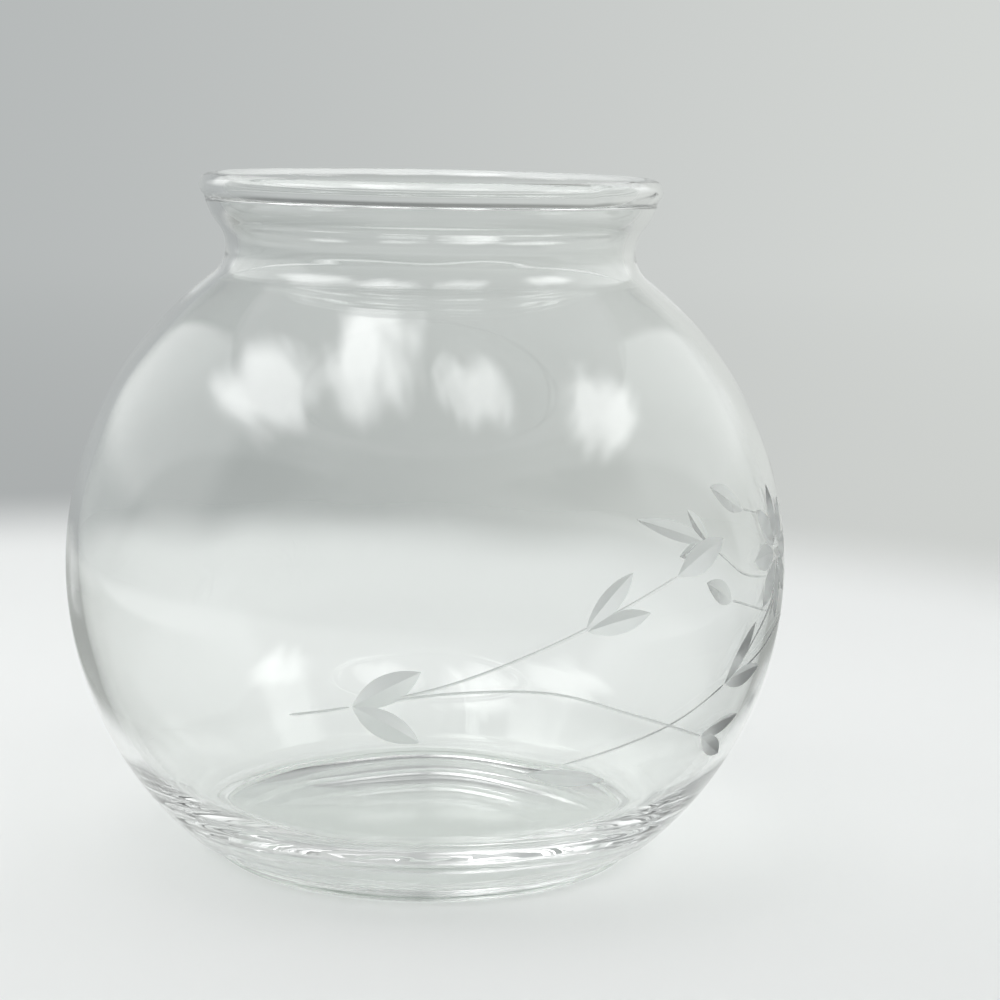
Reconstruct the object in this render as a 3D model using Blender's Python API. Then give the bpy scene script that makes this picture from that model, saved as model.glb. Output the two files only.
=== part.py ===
"""Clear glass globe jar: a thin blown bubble with a waisted neck, a rolled rim bead and a low foot pad.

All sizes are in metres. The jar stands on z = 0 and the Z axis is the axis that it was turned on.
Heights on the globe are measured from the globe's own centre, which is the origin of its object.
"""
import math

import bmesh
import bpy
from mathutils import Vector

MM = 0.001

# Globe
GLOBE_RADIUS = 52.0 * MM
GLOBE_WALL = 1.7 * MM
HEEL_RADIUS = 7.5 * MM
FLOOR_THICKNESS = 2.2 * MM
FLOOR_FLAT_RADIUS = 22.0 * MM

# Neck and lip, whose outer sides bend in a long S
WAIST_RADIUS = 29.25 * MM
NECK_BEND_RADIUS = 5.0 * MM
NECK_WALL = 1.8 * MM
LIP_FLARE = 2.95 * MM
LIP_RISE = 6.8 * MM
LIP_BEND_RADIUS = 8.0 * MM

# Rim bead
BEAD_THICKNESS = 3.5 * MM

# Foot pad
FOOT_RADIUS = 31.2 * MM
FOOT_HEIGHT = 1.8 * MM
FOOT_TOP_EDGE_RADIUS = 0.3 * MM
FOOT_BOTTOM_EDGE_RADIUS = 1.0 * MM
FOOT_RECESS_RADIUS = 24.0 * MM
FOOT_RECESS_DEPTH = 0.7 * MM

# Cut decoration. A place on the globe is (azimuth, latitude) in degrees: azimuth 0 faces -Y and grows
# towards +X, and latitude 0 is the widest circle. A leaf is one stroke of a grinding wheel with a blunt
# V edge, so it is widest and deepest in its middle.
LEAF_DEPTH = 0.6 * MM
STEM_DEPTH = 0.35 * MM
STEM_WIDTH = 0.5 * MM
STEM_TAPER = 2.0 * MM
LEAF_WIDTH = 3.2 * MM
NARROW_LEAF_WIDTH = 2.8 * MM
BROAD_LEAF_WIDTH = 4.2 * MM
BLOSSOM_PLACE = (70.0, 6.0)
PETAL_COUNT = 8
PETAL_START = 1.5
PETAL_END = 10.5
PETAL_WIDTH = 4.0 * MM

# Each leaf runs from its base to its tip
LEAVES = {
    "low_left_upper": ((-10.3, -10.2), (-0.5, -4.7), BROAD_LEAF_WIDTH),
    "low_left_lower": ((-10.3, -10.2), (-0.6, -15.5), BROAD_LEAF_WIDTH),
    "pair_upper": ((23.0, 0.6), (31.0, 8.1), LEAF_WIDTH),
    "pair_lower": ((23.3, 0.3), (33.9, 2.0), LEAF_WIDTH),
    "top_end": ((39.2, 6.7), (50.4, 10.9), BROAD_LEAF_WIDTH),
    "fork_upper": ((49.6, -19.5), (60.9, -18.3), NARROW_LEAF_WIDTH),
    "fork_lower": ((49.7, -19.7), (59.9, -25.1), NARROW_LEAF_WIDTH),
    "bottom": ((15.6, -21.0), (29.8, -23.8), NARROW_LEAF_WIDTH),
    "middle_upper": ((52.3, -11.5), (60.1, -3.1), NARROW_LEAF_WIDTH),
    "middle_lower": ((52.3, -11.5), (64.8, -11.0), LEAF_WIDTH),
    "right_end": ((107.6, -9.7), (118.9, -8.4), BROAD_LEAF_WIDTH),
    "back_low": ((118.6, -1.8), (126.6, -5.2), NARROW_LEAF_WIDTH),
    "back_high": ((118.6, -1.8), (125.4, 3.4), NARROW_LEAF_WIDTH),
    "back_end": ((118.6, -1.8), (137.0, 0.1), LEAF_WIDTH),
    "back_top": ((105.2, 6.6), (118.2, 8.6), BROAD_LEAF_WIDTH),
}

# Each stem is a smooth line through its places
STEMS = {
    "tail": ((-20.8, -12.4), (-14.6, -11.2), (-9.5, -10.0)),
    "rising": ((-11.0, -10.3), (2.8, -6.8), (18.5, -1.1), (29.7, 3.3), (40.0, 7.0)),
    "waving": ((-11.0, -10.3), (3.5, -7.9), (18.1, -8.4), (31.9, -13.0), (50.5, -20.0)),
    "crossing": ((20.5, -20.3), (31.5, -18.1), (42.0, -15.5), (53.0, -11.2)),
    "to_blossom": ((52.0, -11.8), (61.0, -5.3), (67.5, -0.7), (70.0, 4.0)),
    "right": ((52.0, -11.6), (63.4, -8.7), (76.2, -5.6), (92.0, -7.8), (108.3, -9.7)),
    "back": ((72.0, 4.5), (84.0, -0.5), (98.0, -3.4), (108.0, -3.6), (119.2, -1.8)),
    "back_upper": ((73.0, 7.0), (88.0, 8.5), (106.1, 6.7)),
}

# Fit between neighbouring pieces, and fineness of the turned surfaces
JOINT_GAP = 0.3 * MM
TURN_STEPS = 64
WIDE_ARC_STEP = math.radians(7.0)
TIGHT_ARC_STEP = math.radians(18.0)
MERGE_DISTANCE = 0.00001
CUTTER_CLEARANCE = 0.5 * MM
LEAF_STATIONS = 8
LEAF_OVERRUN = 0.12
STEM_STATION = 5.0 * MM

# Angles round an outline's circles, counted from straight out towards straight up
DOWN = -math.pi / 2
UP = math.pi / 2
OUT = 0.0

GLASS_TINT = (0.90, 0.95, 0.93, 1.0)
GLASS_IOR = 1.52


def clear_scene():
    """Start from an empty scene."""
    for item in list(bpy.data.objects):
        bpy.data.objects.remove(item, do_unlink=True)


def glass(name, tint, roughness):
    """Clear glass with a slight tint."""
    material = bpy.data.materials.new(name)
    material.use_nodes = True
    shader = material.node_tree.nodes["Principled BSDF"]
    shader.inputs["Base Color"].default_value = tint
    shader.inputs["Metallic"].default_value = 0.0
    shader.inputs["Roughness"].default_value = roughness
    shader.inputs["IOR"].default_value = GLASS_IOR
    shader.inputs["Transmission Weight"].default_value = 1.0
    return material


def leg(long_side, other_leg):
    """Third side of the right triangle between the centres of two circles that touch."""
    return math.sqrt(long_side ** 2 - other_leg ** 2)


def heading(from_point, to_point):
    """Angle of the line from one point of an outline to another."""
    return math.atan2(to_point[1] - from_point[1], to_point[0] - from_point[0])


def arc(centre, radius, start, end, step):
    """Points along an arc, both ends included."""
    count = max(1, math.ceil(abs(end - start) / step))
    points = []
    for index in range(count + 1):
        angle = start + (end - start) * index / count
        points.append((centre[0] + radius * math.cos(angle), centre[1] + radius * math.sin(angle)))
    return points


def meeting_point(first, first_reach, second, second_reach):
    """Point at given distances from two others, on the left of the line from first to second."""
    span = math.hypot(second[0] - first[0], second[1] - first[1])
    along = ((second[0] - first[0]) / span, (second[1] - first[1]) / span)
    shift = (first_reach ** 2 - second_reach ** 2 + span ** 2) / (2 * span)
    rise = leg(first_reach, shift)
    return (first[0] + along[0] * shift - along[1] * rise, first[1] + along[1] * shift + along[0] * rise)


def turned(name, outline, closed, height, material):
    """Solid of revolution whose outline runs down its outer side."""
    vertices = [(radius, 0.0, level) for radius, level in outline]
    edges = [(index, index + 1) for index in range(len(outline) - 1)]
    if closed:
        edges.append((len(outline) - 1, 0))
    mesh = bpy.data.meshes.new(name)
    mesh.from_pydata(vertices, edges, [])
    mesh.materials.append(material)
    piece = bpy.data.objects.new(name, mesh)
    bpy.context.scene.collection.objects.link(piece)
    piece.location.z = height
    screw = piece.modifiers.new("turned", "SCREW")
    screw.axis = "Z"
    screw.angle = 2 * math.pi
    screw.steps = TURN_STEPS
    screw.render_steps = TURN_STEPS
    screw.use_merge_vertices = True
    screw.merge_threshold = MERGE_DISTANCE
    screw.use_smooth_shade = True
    return piece


# Sizes that follow from the ones above, with the globe's centre at height zero
SEAT_RADIUS = FOOT_RADIUS - FOOT_TOP_EDGE_RADIUS
HEEL_CENTRE = (SEAT_RADIUS, -leg(GLOBE_RADIUS - HEEL_RADIUS, SEAT_RADIUS))
SEAT_LEVEL = HEEL_CENTRE[1] - HEEL_RADIUS
GLOBE_CENTRE = (0.0, 0.0)
GLOBE_HEIGHT = FOOT_HEIGHT + JOINT_GAP - SEAT_LEVEL

NECK_CENTRE_RADIUS = WAIST_RADIUS + NECK_BEND_RADIUS
NECK_CENTRE = (NECK_CENTRE_RADIUS, leg(GLOBE_RADIUS + NECK_BEND_RADIUS, NECK_CENTRE_RADIUS))
INNER_NECK_BEND = NECK_BEND_RADIUS + NECK_WALL
LIP_LEVEL = NECK_CENTRE[1] + LIP_RISE
LIP_OUTER_END = (WAIST_RADIUS + LIP_FLARE, LIP_LEVEL)
LIP_CENTRE = meeting_point(
    NECK_CENTRE, NECK_BEND_RADIUS + LIP_BEND_RADIUS, LIP_OUTER_END, LIP_BEND_RADIUS)
INNER_LIP_BEND = LIP_BEND_RADIUS - NECK_WALL
LIP_INNER_END = (LIP_CENTRE[0] + leg(INNER_LIP_BEND, LIP_CENTRE[1] - LIP_LEVEL), LIP_LEVEL)

INNER_RADIUS = GLOBE_RADIUS - GLOBE_WALL
INNER_CENTRE = (0.0, NECK_CENTRE[1] - leg(INNER_RADIUS + INNER_NECK_BEND, NECK_CENTRE_RADIUS))
FLOOR_LEVEL = SEAT_LEVEL + FLOOR_THICKNESS
INNER_DEPTH = INNER_CENTRE[1] - FLOOR_LEVEL
FLOOR_BEND = (INNER_RADIUS ** 2 - FLOOR_FLAT_RADIUS ** 2 - INNER_DEPTH ** 2) / (
    2 * (INNER_RADIUS - INNER_DEPTH))
FLOOR_BEND_CENTRE = (FLOOR_FLAT_RADIUS, FLOOR_LEVEL + FLOOR_BEND)


def place(azimuth, latitude, radius=GLOBE_RADIUS):
    """Point at an azimuth and a latitude, in degrees, from the globe's centre."""
    turn = math.radians(azimuth)
    lift = math.radians(latitude)
    level = radius * math.cos(lift)
    return Vector((level * math.sin(turn), -level * math.cos(turn), radius * math.sin(lift)))


def vee_cutter(name, line, depths, half_width_per_depth):
    """Closed wedge along a line on the globe, with its edge at the given depths and its back outside."""
    mesh = bpy.data.meshes.new(name)
    build = bmesh.new()
    rows = []
    last = len(line) - 1
    for index, point in enumerate(line):
        outward = point.normalized()
        along = (line[min(index + 1, last)] - line[max(index - 1, 0)]).normalized()
        across = outward.cross(along).normalized()
        spread = across * (depths[index] + CUTTER_CLEARANCE) * half_width_per_depth
        shoulder = point + outward * CUTTER_CLEARANCE
        corners = (point - outward * depths[index], shoulder + spread, shoulder - spread)
        rows.append([build.verts.new(corner) for corner in corners])
    for row, following in zip(rows, rows[1:]):
        for side in range(3):
            other = (side + 1) % 3
            build.faces.new((row[side], row[other], following[other], following[side]))
    build.faces.new(rows[0][::-1])
    build.faces.new(rows[-1])
    bmesh.ops.recalc_face_normals(build, faces=build.faces)
    build.to_mesh(mesh)
    build.free()
    cutter = bpy.data.objects.new(name, mesh)
    cutter.hide_render = True
    cutter.display_type = "WIRE"
    return cutter


def leaf_cutter(name, base, tip, width):
    """One wheel stroke from a leaf's base to its tip."""
    start = place(*base).normalized()
    end = place(*tip).normalized()
    line = []
    depths = []
    for index in range(LEAF_STATIONS + 1):
        share = -LEAF_OVERRUN + (1 + 2 * LEAF_OVERRUN) * index / LEAF_STATIONS
        line.append(start.lerp(end, share).normalized() * GLOBE_RADIUS)
        depths.append(LEAF_DEPTH * 4 * share * (1 - share))
    return vee_cutter(name, line, depths, width / 2 / LEAF_DEPTH)


def smooth_line(places, spacing):
    """Points at about the given spacing on a smooth curve through places on the globe."""
    knots = [Vector(item) for item in places]
    knots = [2 * knots[0] - knots[1]] + knots + [2 * knots[-1] - knots[-2]]
    line = [place(*knots[1])]
    for before, start, end, after in zip(knots, knots[1:], knots[2:], knots[3:]):
        count = math.ceil((place(*end) - place(*start)).length / spacing)
        for index in range(1, count + 1):
            share = index / count
            bend_in = (end - before) / 2
            bend_out = (after - start) / 2
            spot = (
                start * (2 * share ** 3 - 3 * share ** 2 + 1)
                + bend_in * (share ** 3 - 2 * share ** 2 + share)
                + end * (3 * share ** 2 - 2 * share ** 3)
                + bend_out * (share ** 3 - share ** 2)
            )
            line.append(place(*spot))
    return line


def stem_cutter(name, places):
    """A fine line that runs out of the glass at both of its ends."""
    line = smooth_line(places, STEM_STATION)
    first = line[0].lerp(line[1], STEM_TAPER / (line[1] - line[0]).length)
    final = line[-1].lerp(line[-2], STEM_TAPER / (line[-1] - line[-2]).length)
    line = [line[0], first] + line[1:-1] + [final, line[-1]]
    line = [point.normalized() * GLOBE_RADIUS for point in line]
    depths = [STEM_DEPTH] * len(line)
    depths[0] = depths[-1] = -CUTTER_CLEARANCE / 2
    return vee_cutter(name, line, depths, STEM_WIDTH / 2 / STEM_DEPTH)


def petal_places(index):
    """Inner and outer end of one petal of the blossom."""
    turn = 2 * math.pi * index / PETAL_COUNT
    azimuth, latitude = BLOSSOM_PLACE
    stretch = 1 / math.cos(math.radians(latitude))
    ends = []
    for reach in (PETAL_START, PETAL_END):
        ends.append((azimuth - reach * math.cos(turn) * stretch, latitude + reach * math.sin(turn)))
    return ends


def cut_spray(globe):
    """Cut the leaves, the blossom and the stems into the outside of the globe."""
    cutters = bpy.data.collections.new("spray_cutters")
    bpy.context.scene.collection.children.link(cutters)
    tools = [leaf_cutter("cut_leaf_" + name, *leaf) for name, leaf in LEAVES.items()]
    tools += [stem_cutter("cut_stem_" + name, places) for name, places in STEMS.items()]
    for index in range(PETAL_COUNT):
        tools.append(leaf_cutter("cut_petal_%d" % (index + 1), *petal_places(index), PETAL_WIDTH))
    for tool in tools:
        cutters.objects.link(tool)
        tool.parent = globe
    cut = globe.modifiers.new("cut_spray", "BOOLEAN")
    cut.operation = "DIFFERENCE"
    cut.operand_type = "COLLECTION"
    cut.collection = cutters
    cut.solver = "EXACT"


def globe_outline():
    """Half section of the bubble: up the inside from the floor, over the lip and down the outside."""
    neck_to_lip = heading(NECK_CENTRE, LIP_CENTRE)
    lip_to_neck = neck_to_lip - math.pi
    neck_to_globe = heading(NECK_CENTRE, GLOBE_CENTRE) + 2 * math.pi
    globe_to_neck = heading(GLOBE_CENTRE, NECK_CENTRE)
    neck_to_inner = heading(NECK_CENTRE, INNER_CENTRE) + 2 * math.pi
    inner_to_neck = heading(INNER_CENTRE, NECK_CENTRE)
    inner_to_floor = heading(INNER_CENTRE, FLOOR_BEND_CENTRE)
    globe_to_heel = heading(GLOBE_CENTRE, HEEL_CENTRE)
    lip_inner_end = heading(LIP_CENTRE, LIP_INNER_END)
    lip_outer_end = heading(LIP_CENTRE, LIP_OUTER_END)

    outline = [(0.0, FLOOR_LEVEL)]
    outline += arc(FLOOR_BEND_CENTRE, FLOOR_BEND, DOWN, inner_to_floor, WIDE_ARC_STEP)
    outline += arc(INNER_CENTRE, INNER_RADIUS, inner_to_floor, inner_to_neck, WIDE_ARC_STEP)[1:]
    outline += arc(NECK_CENTRE, INNER_NECK_BEND, neck_to_inner, neck_to_lip, TIGHT_ARC_STEP)[1:]
    outline += arc(LIP_CENTRE, INNER_LIP_BEND, lip_to_neck, lip_inner_end, TIGHT_ARC_STEP)[1:]
    outline += arc(LIP_CENTRE, LIP_BEND_RADIUS, lip_outer_end, lip_to_neck, TIGHT_ARC_STEP)
    outline += arc(NECK_CENTRE, NECK_BEND_RADIUS, neck_to_lip, neck_to_globe, TIGHT_ARC_STEP)[1:]
    outline += arc(GLOBE_CENTRE, GLOBE_RADIUS, globe_to_neck, globe_to_heel, WIDE_ARC_STEP)[1:]
    outline += arc(HEEL_CENTRE, HEEL_RADIUS, globe_to_heel, DOWN, TIGHT_ARC_STEP)[1:]
    outline.append((0.0, SEAT_LEVEL))
    return outline


def build_globe_body():
    """The blown bubble with its floor, neck and flared lip, in one wall."""
    material = glass("globe_glass", GLASS_TINT, 0.02)
    globe = turned("globe_body", globe_outline(), False, GLOBE_HEIGHT, material)
    cut_spray(globe)
    return globe


def build_rim_bead():
    """The round bead that lies on the lip, flat only where it sits on the lip's wall."""
    radius = BEAD_THICKNESS / 2
    half_seat = (LIP_OUTER_END[0] - LIP_INNER_END[0]) / 2
    ring_radius = LIP_OUTER_END[0] - half_seat
    centre_above_seat = leg(radius, half_seat)
    seat_angle = math.atan2(-centre_above_seat, half_seat)
    outline = arc((ring_radius, 0.0), radius, math.pi - seat_angle, seat_angle, TIGHT_ARC_STEP)
    height = GLOBE_HEIGHT + LIP_LEVEL + JOINT_GAP + centre_above_seat
    return turned("rim_bead", outline, True, height, glass("rim_glass", GLASS_TINT, 0.01))


def build_foot_pad():
    """The low pad under the globe, hollowed underneath so that it stands on a flat ring."""
    top_centre = (FOOT_RADIUS - FOOT_TOP_EDGE_RADIUS, FOOT_HEIGHT - FOOT_TOP_EDGE_RADIUS)
    bottom_centre = (FOOT_RADIUS - FOOT_BOTTOM_EDGE_RADIUS, FOOT_BOTTOM_EDGE_RADIUS)
    recess_curve = (FOOT_RECESS_RADIUS ** 2 + FOOT_RECESS_DEPTH ** 2) / (2 * FOOT_RECESS_DEPTH)
    recess_centre = (0.0, FOOT_RECESS_DEPTH - recess_curve)
    recess_rim = heading(recess_centre, (FOOT_RECESS_RADIUS, 0.0))
    recess_step = (UP - recess_rim) / 3

    outline = [(0.0, FOOT_HEIGHT)]
    outline += arc(top_centre, FOOT_TOP_EDGE_RADIUS, UP, OUT, TIGHT_ARC_STEP)
    outline += arc(bottom_centre, FOOT_BOTTOM_EDGE_RADIUS, OUT, DOWN, TIGHT_ARC_STEP)
    outline += arc(recess_centre, recess_curve, recess_rim, UP, recess_step)[:-1]
    outline.append((0.0, FOOT_RECESS_DEPTH))
    return turned("foot_pad", outline, False, 0.0, glass("foot_glass", GLASS_TINT, 0.02))


def main():
    """Build the jar and hang its pieces from one empty at the middle of its resting face."""
    clear_scene()
    jar = bpy.data.objects.new("jar", None)
    bpy.context.scene.collection.objects.link(jar)
    for piece in (build_foot_pad(), build_globe_body(), build_rim_bead()):
        piece.parent = jar


main()
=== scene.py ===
"""The looks of the clear glass globe jar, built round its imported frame.

Lengths are in metres unless a name says otherwise. Heights on the globe are measured from its centre, and
a place on it is (azimuth, latitude) in degrees: azimuth 0 faces -Y and grows towards +X.
"""
import math

import bmesh
import bpy
from mathutils import Matrix, Vector, noise


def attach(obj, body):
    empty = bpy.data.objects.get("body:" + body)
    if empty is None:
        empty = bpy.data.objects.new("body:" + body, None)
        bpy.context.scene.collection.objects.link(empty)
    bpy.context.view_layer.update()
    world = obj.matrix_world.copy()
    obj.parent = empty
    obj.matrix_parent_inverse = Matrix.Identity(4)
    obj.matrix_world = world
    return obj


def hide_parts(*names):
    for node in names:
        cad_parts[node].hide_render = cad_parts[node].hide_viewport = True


MM = 0.001

# Sizes of the jar, as in the CAD part
GLOBE_RADIUS = 52.0 * MM
GLOBE_WALL = 1.7 * MM
HEEL_RADIUS = 7.5 * MM
FLOOR_THICKNESS = 2.2 * MM
FLOOR_FLAT_RADIUS = 22.0 * MM
WAIST_RADIUS = 29.25 * MM
NECK_BEND_RADIUS = 5.0 * MM
NECK_WALL = 1.8 * MM
LIP_FLARE = 2.95 * MM
LIP_RISE = 6.8 * MM
LIP_BEND_RADIUS = 8.0 * MM
BEAD_THICKNESS = 3.5 * MM
FOOT_RADIUS = 31.2 * MM
FOOT_HEIGHT = 1.8 * MM
FOOT_TOP_EDGE_RADIUS = 0.3 * MM
FOOT_BOTTOM_EDGE_RADIUS = 1.0 * MM
FOOT_RECESS_RADIUS = 24.0 * MM
FOOT_RECESS_DEPTH = 0.7 * MM
JOINT_GAP = 0.3 * MM

# Where the pieces are fused, the glass runs over from one to the next in a small fillet
BEAD_FILLET_RADIUS = 0.4 * MM
NOTCH_FILLET_RADIUS = 1.8 * MM

# The bead is a trail of glass laid round the lip. Its end laps over its start in a slanting seam, which
# runs round the bead from its outer foot to its inner foot
SEAM_STEP = 0.06 * MM
SEAM_OUTER_AZIMUTH = 46.0
SEAM_INNER_AZIMUTH = 78.0
SEAM_FADE = 30.0
SEAM_CLEAR_OF_JOINT = 0.8 * MM

# The inside of a blown wall is never quite even, and its floor is the least even
WAVE_HEIGHT = 0.10 * MM
WAVE_LENGTH = 14.0 * MM
FLOOR_WAVE_HEIGHT = 0.13 * MM
FLOOR_WAVE_UP_TO = 8.0 * MM

# The heel and the foot were pressed to shape by hand, so their outside is uneven too. Their waves fade in
# between two heights above the table
HEEL_WAVE_HEIGHT = 0.10 * MM
HEEL_WAVE_LENGTH = 9.0 * MM
HEEL_WAVE_FROM = 18.0 * MM
HEEL_WAVE_TO = 8.0 * MM

# Cut decoration. Its stems are finer and shallower than in the CAD part
LEAF_DEPTH = 0.6 * MM
STEM_DEPTH = 0.10 * MM
STEM_WIDTH = 0.38 * MM
STEM_TAPER = 1.5 * MM
LEAF_WIDTH = 3.2 * MM
NARROW_LEAF_WIDTH = 2.8 * MM
BROAD_LEAF_WIDTH = 4.2 * MM

# The petals of the blossom run between two distances from its middle, in degrees
BLOSSOM_PLACE = (70.0, 6.0)
PETAL_COUNT = 8
PETAL_START = 1.5
PETAL_END = 10.5
PETAL_WIDTH = 4.0 * MM

# Each leaf has the places of its base and its tip, and a width
LEAVES = {
    "low_left_upper": ((-10.3, -10.2), (-0.5, -4.7), BROAD_LEAF_WIDTH),
    "low_left_lower": ((-10.3, -10.2), (-0.6, -15.5), BROAD_LEAF_WIDTH),
    "pair_upper": ((23.0, 0.6), (31.0, 8.1), LEAF_WIDTH),
    "pair_lower": ((23.3, 0.3), (33.9, 2.0), LEAF_WIDTH),
    "top_end": ((39.2, 6.7), (50.4, 10.9), BROAD_LEAF_WIDTH),
    "fork_upper": ((49.6, -19.5), (60.9, -18.3), NARROW_LEAF_WIDTH),
    "fork_lower": ((49.7, -19.7), (59.9, -25.1), NARROW_LEAF_WIDTH),
    "bottom": ((15.6, -21.0), (29.8, -23.8), NARROW_LEAF_WIDTH),
    "middle_upper": ((52.3, -11.5), (60.1, -3.1), NARROW_LEAF_WIDTH),
    "middle_lower": ((52.3, -11.5), (64.8, -11.0), LEAF_WIDTH),
    "right_end": ((107.6, -9.7), (118.9, -8.4), BROAD_LEAF_WIDTH),
    "back_low": ((118.6, -1.8), (126.6, -5.2), NARROW_LEAF_WIDTH),
    "back_high": ((118.6, -1.8), (125.4, 3.4), NARROW_LEAF_WIDTH),
    "back_end": ((118.6, -1.8), (137.0, 0.1), LEAF_WIDTH),
    "back_top": ((105.2, 6.6), (118.2, 8.6), BROAD_LEAF_WIDTH),
}

# Each stem is a smooth curve through places on the globe
STEMS = {
    "tail": ((-20.8, -12.4), (-14.6, -11.2), (-9.5, -10.0)),
    "rising": ((-11.0, -10.3), (2.8, -6.8), (18.5, -1.1), (29.7, 3.3), (40.0, 7.0)),
    "waving": ((-11.0, -10.3), (3.5, -7.9), (18.1, -8.4), (31.9, -13.0), (50.5, -20.0)),
    "crossing": ((20.5, -20.3), (31.5, -18.1), (42.0, -15.5), (53.0, -11.2)),
    "to_blossom": ((52.0, -11.8), (61.0, -5.3), (67.5, -0.7), (70.0, 4.0)),
    "right": ((52.0, -11.6), (63.4, -8.7), (76.2, -5.6), (92.0, -7.8), (108.3, -9.7)),
    "back": ((72.0, 4.5), (84.0, -0.5), (98.0, -3.4), (108.0, -3.6), (119.2, -1.8)),
    "back_upper": ((73.0, 7.0), (88.0, 8.5), (106.1, 6.7)),
}

# Fineness of the surfaces. A point of an outline that is on the axis becomes one vertex, and a vertex that
# is on the globe gets the globe's true normal
TURN_STEPS = 256
WIDE_ARC_STEP = math.radians(1.6)
TIGHT_ARC_STEP = math.radians(9.0)
HEEL_ARC_STEP = TIGHT_ARC_STEP / 3
NECK_ARC_STEP = TIGHT_ARC_STEP / 2
LIP_ARC_STEP = TIGHT_ARC_STEP / 3
FLOOR_ARC_STEP = WIDE_ARC_STEP * 1.5
RECESS_STEPS = 16
ON_AXIS = 1e-9
SHARP_ANGLE = math.radians(20.0)
ON_GLOBE = 0.02 * MM

# Cutters for the decoration: how far they stand out of the glass, and how finely they follow it. A leaf's
# cutter runs past both ends by a share of the leaf's length, and a stem's cutter rises clear of the glass
CUTTER_CLEARANCE = 0.5 * MM
LEAF_STATIONS = 24
LEAF_OVERRUN = 0.12
STEM_STATION = 1.5 * MM
STEM_END_RISE = CUTTER_CLEARANCE / 4

# Order of the materials on each piece of glass
SKIN = 0
CUT = 1
JOINT = 2

# Angles round an outline's circles, counted from straight out towards straight up
DOWN = -math.pi / 2
UP = math.pi / 2
OUT = 0.0

# Camera, as it stood for the photograph
IMAGE_WIDTH = 1000
FOCAL_PIXELS = 2393.4
SENSOR_WIDTH_MM = 36.0
CAMERA_PLACE = (0.0, -0.34403, 0.10787)
CAMERA_PITCH = math.radians(9.424)
CAMERA_YAW = math.radians(1.761)
CAMERA_ROLL = math.radians(1.107)

# Glass. Light goes a long way through the low foot, so that its tint is stronger there; part of that
# darker tint is painted shade in the base
GLASS_IOR = 1.52
POLISHED = 0.0
GLASS_TINT = (0.975, 0.985, 0.977, 1.0)
FOOT_TINT_AND_SHADE = (0.82, 0.85, 0.826, 1.0)
SHADOW_TINT = (0.915, 0.92, 0.918, 1.0)
CUT_TINT = (0.93, 0.95, 0.94, 1.0)
CUT_ROUGHNESS = 0.42
CUT_HAZE = 0.25
CUT_HAZE_TINT = (0.80, 0.82, 0.81, 1.0)

# Stage: a round floor that bends up into a wall. The flat rings keep its shading level round the jar
STAGE_RADIUS = 1.6
STAGE_BEND = 0.5
STAGE_HEIGHT = 1.5
STAGE_STEPS = 96
STAGE_BEND_STEP = math.radians(5.0)
FLAT_RINGS = (0.1, 0.3)
AIR_UNDER_FOOT = 0.05 * MM

# The floor is a pale table round the jar, with painted light that makes it lighter at the back than at the
# front, and fades into the wall's grey. The wall is lighter on the right, also as painted light
TABLE_MIDDLE_X = -0.045
TABLE_FADE_FROM = 0.22
TABLE_FADE_TO = 0.32
# Painted light: the table is darker at the front and lighter at the back
FLOOR_NEAR_SHADED = (0.755, 0.765, 0.757, 1.0)
FLOOR_FAR_LIT = (0.845, 0.855, 0.847, 1.0)
FLOOR_NEAR_AT = -0.10
FLOOR_FAR_AT = 0.12
# Painted light: the wall is lighter on the right than on the left
WALL_LEFT_SHADED = (0.455, 0.475, 0.475, 1.0)
WALL_RIGHT_LIT = (0.68, 0.70, 0.68, 1.0)
WALL_LEFT_AT = -0.35
WALL_RIGHT_AT = 0.45
# Painted shade: the wall is darker near the table, up to its full grey at the far reach
WALL_NEAR_SHADE = 0.9
WALL_FAR_REACH = 1.2

# Two white screens left and right are painted light: a glow on the wall that shows to the camera and in
# the glass, but lights nothing. Their side edges are angles from straight back, their upper edges slope
# down towards the back, and they fade out towards the floor
SCREEN_GLOW_COLOUR = (0.93, 0.95, 0.94, 1.0)
SCREEN_BACK_EDGE = math.radians(34.0)
SCREEN_FRONT_EDGE = math.radians(104.0)
SCREEN_EDGE_SOFTNESS = math.radians(5.0)
SCREEN_RISE_SIDEWAYS = 1.32
SCREEN_DROP_BACKWARDS = 0.42
SCREEN_TOP_SOFTNESS = 0.06
SCREEN_FOOT_FROM = 0.12
SCREEN_FOOT_TO = 0.36

# Two grey cards of painted shade lie on the table behind the jar, just outside the picture on its left and
# right. No cards stand there: the table shows this painted shade only where the glass mirrors it, inside or
# out, and it draws the globe's lower edges. Its side edges are angles as seen from the camera. It fades in
# at the front and fades out past the table
CARD_SHADE_COLOUR = (0.38, 0.395, 0.38, 1.0)
CARD_EYE_DISTANCE = 0.344
CARD_INNER_EDGE = math.radians(10.8)
CARD_OUTER_EDGE = math.radians(31.0)
CARD_EDGE_SOFTNESS = math.radians(1.2)
CARD_FRONT_FROM = -0.12
CARD_FRONT_TO = -0.05
CARD_REACH_FROM = 0.18
CARD_REACH_TO = 0.34

# High up, where no camera looks, the room is darker: painted shade on the wall. Clear glass gets its
# dark lines from there
DUSK_FROM = 0.50
DUSK_TO = 0.90
DUSK_SHADE = 0.45

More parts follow.
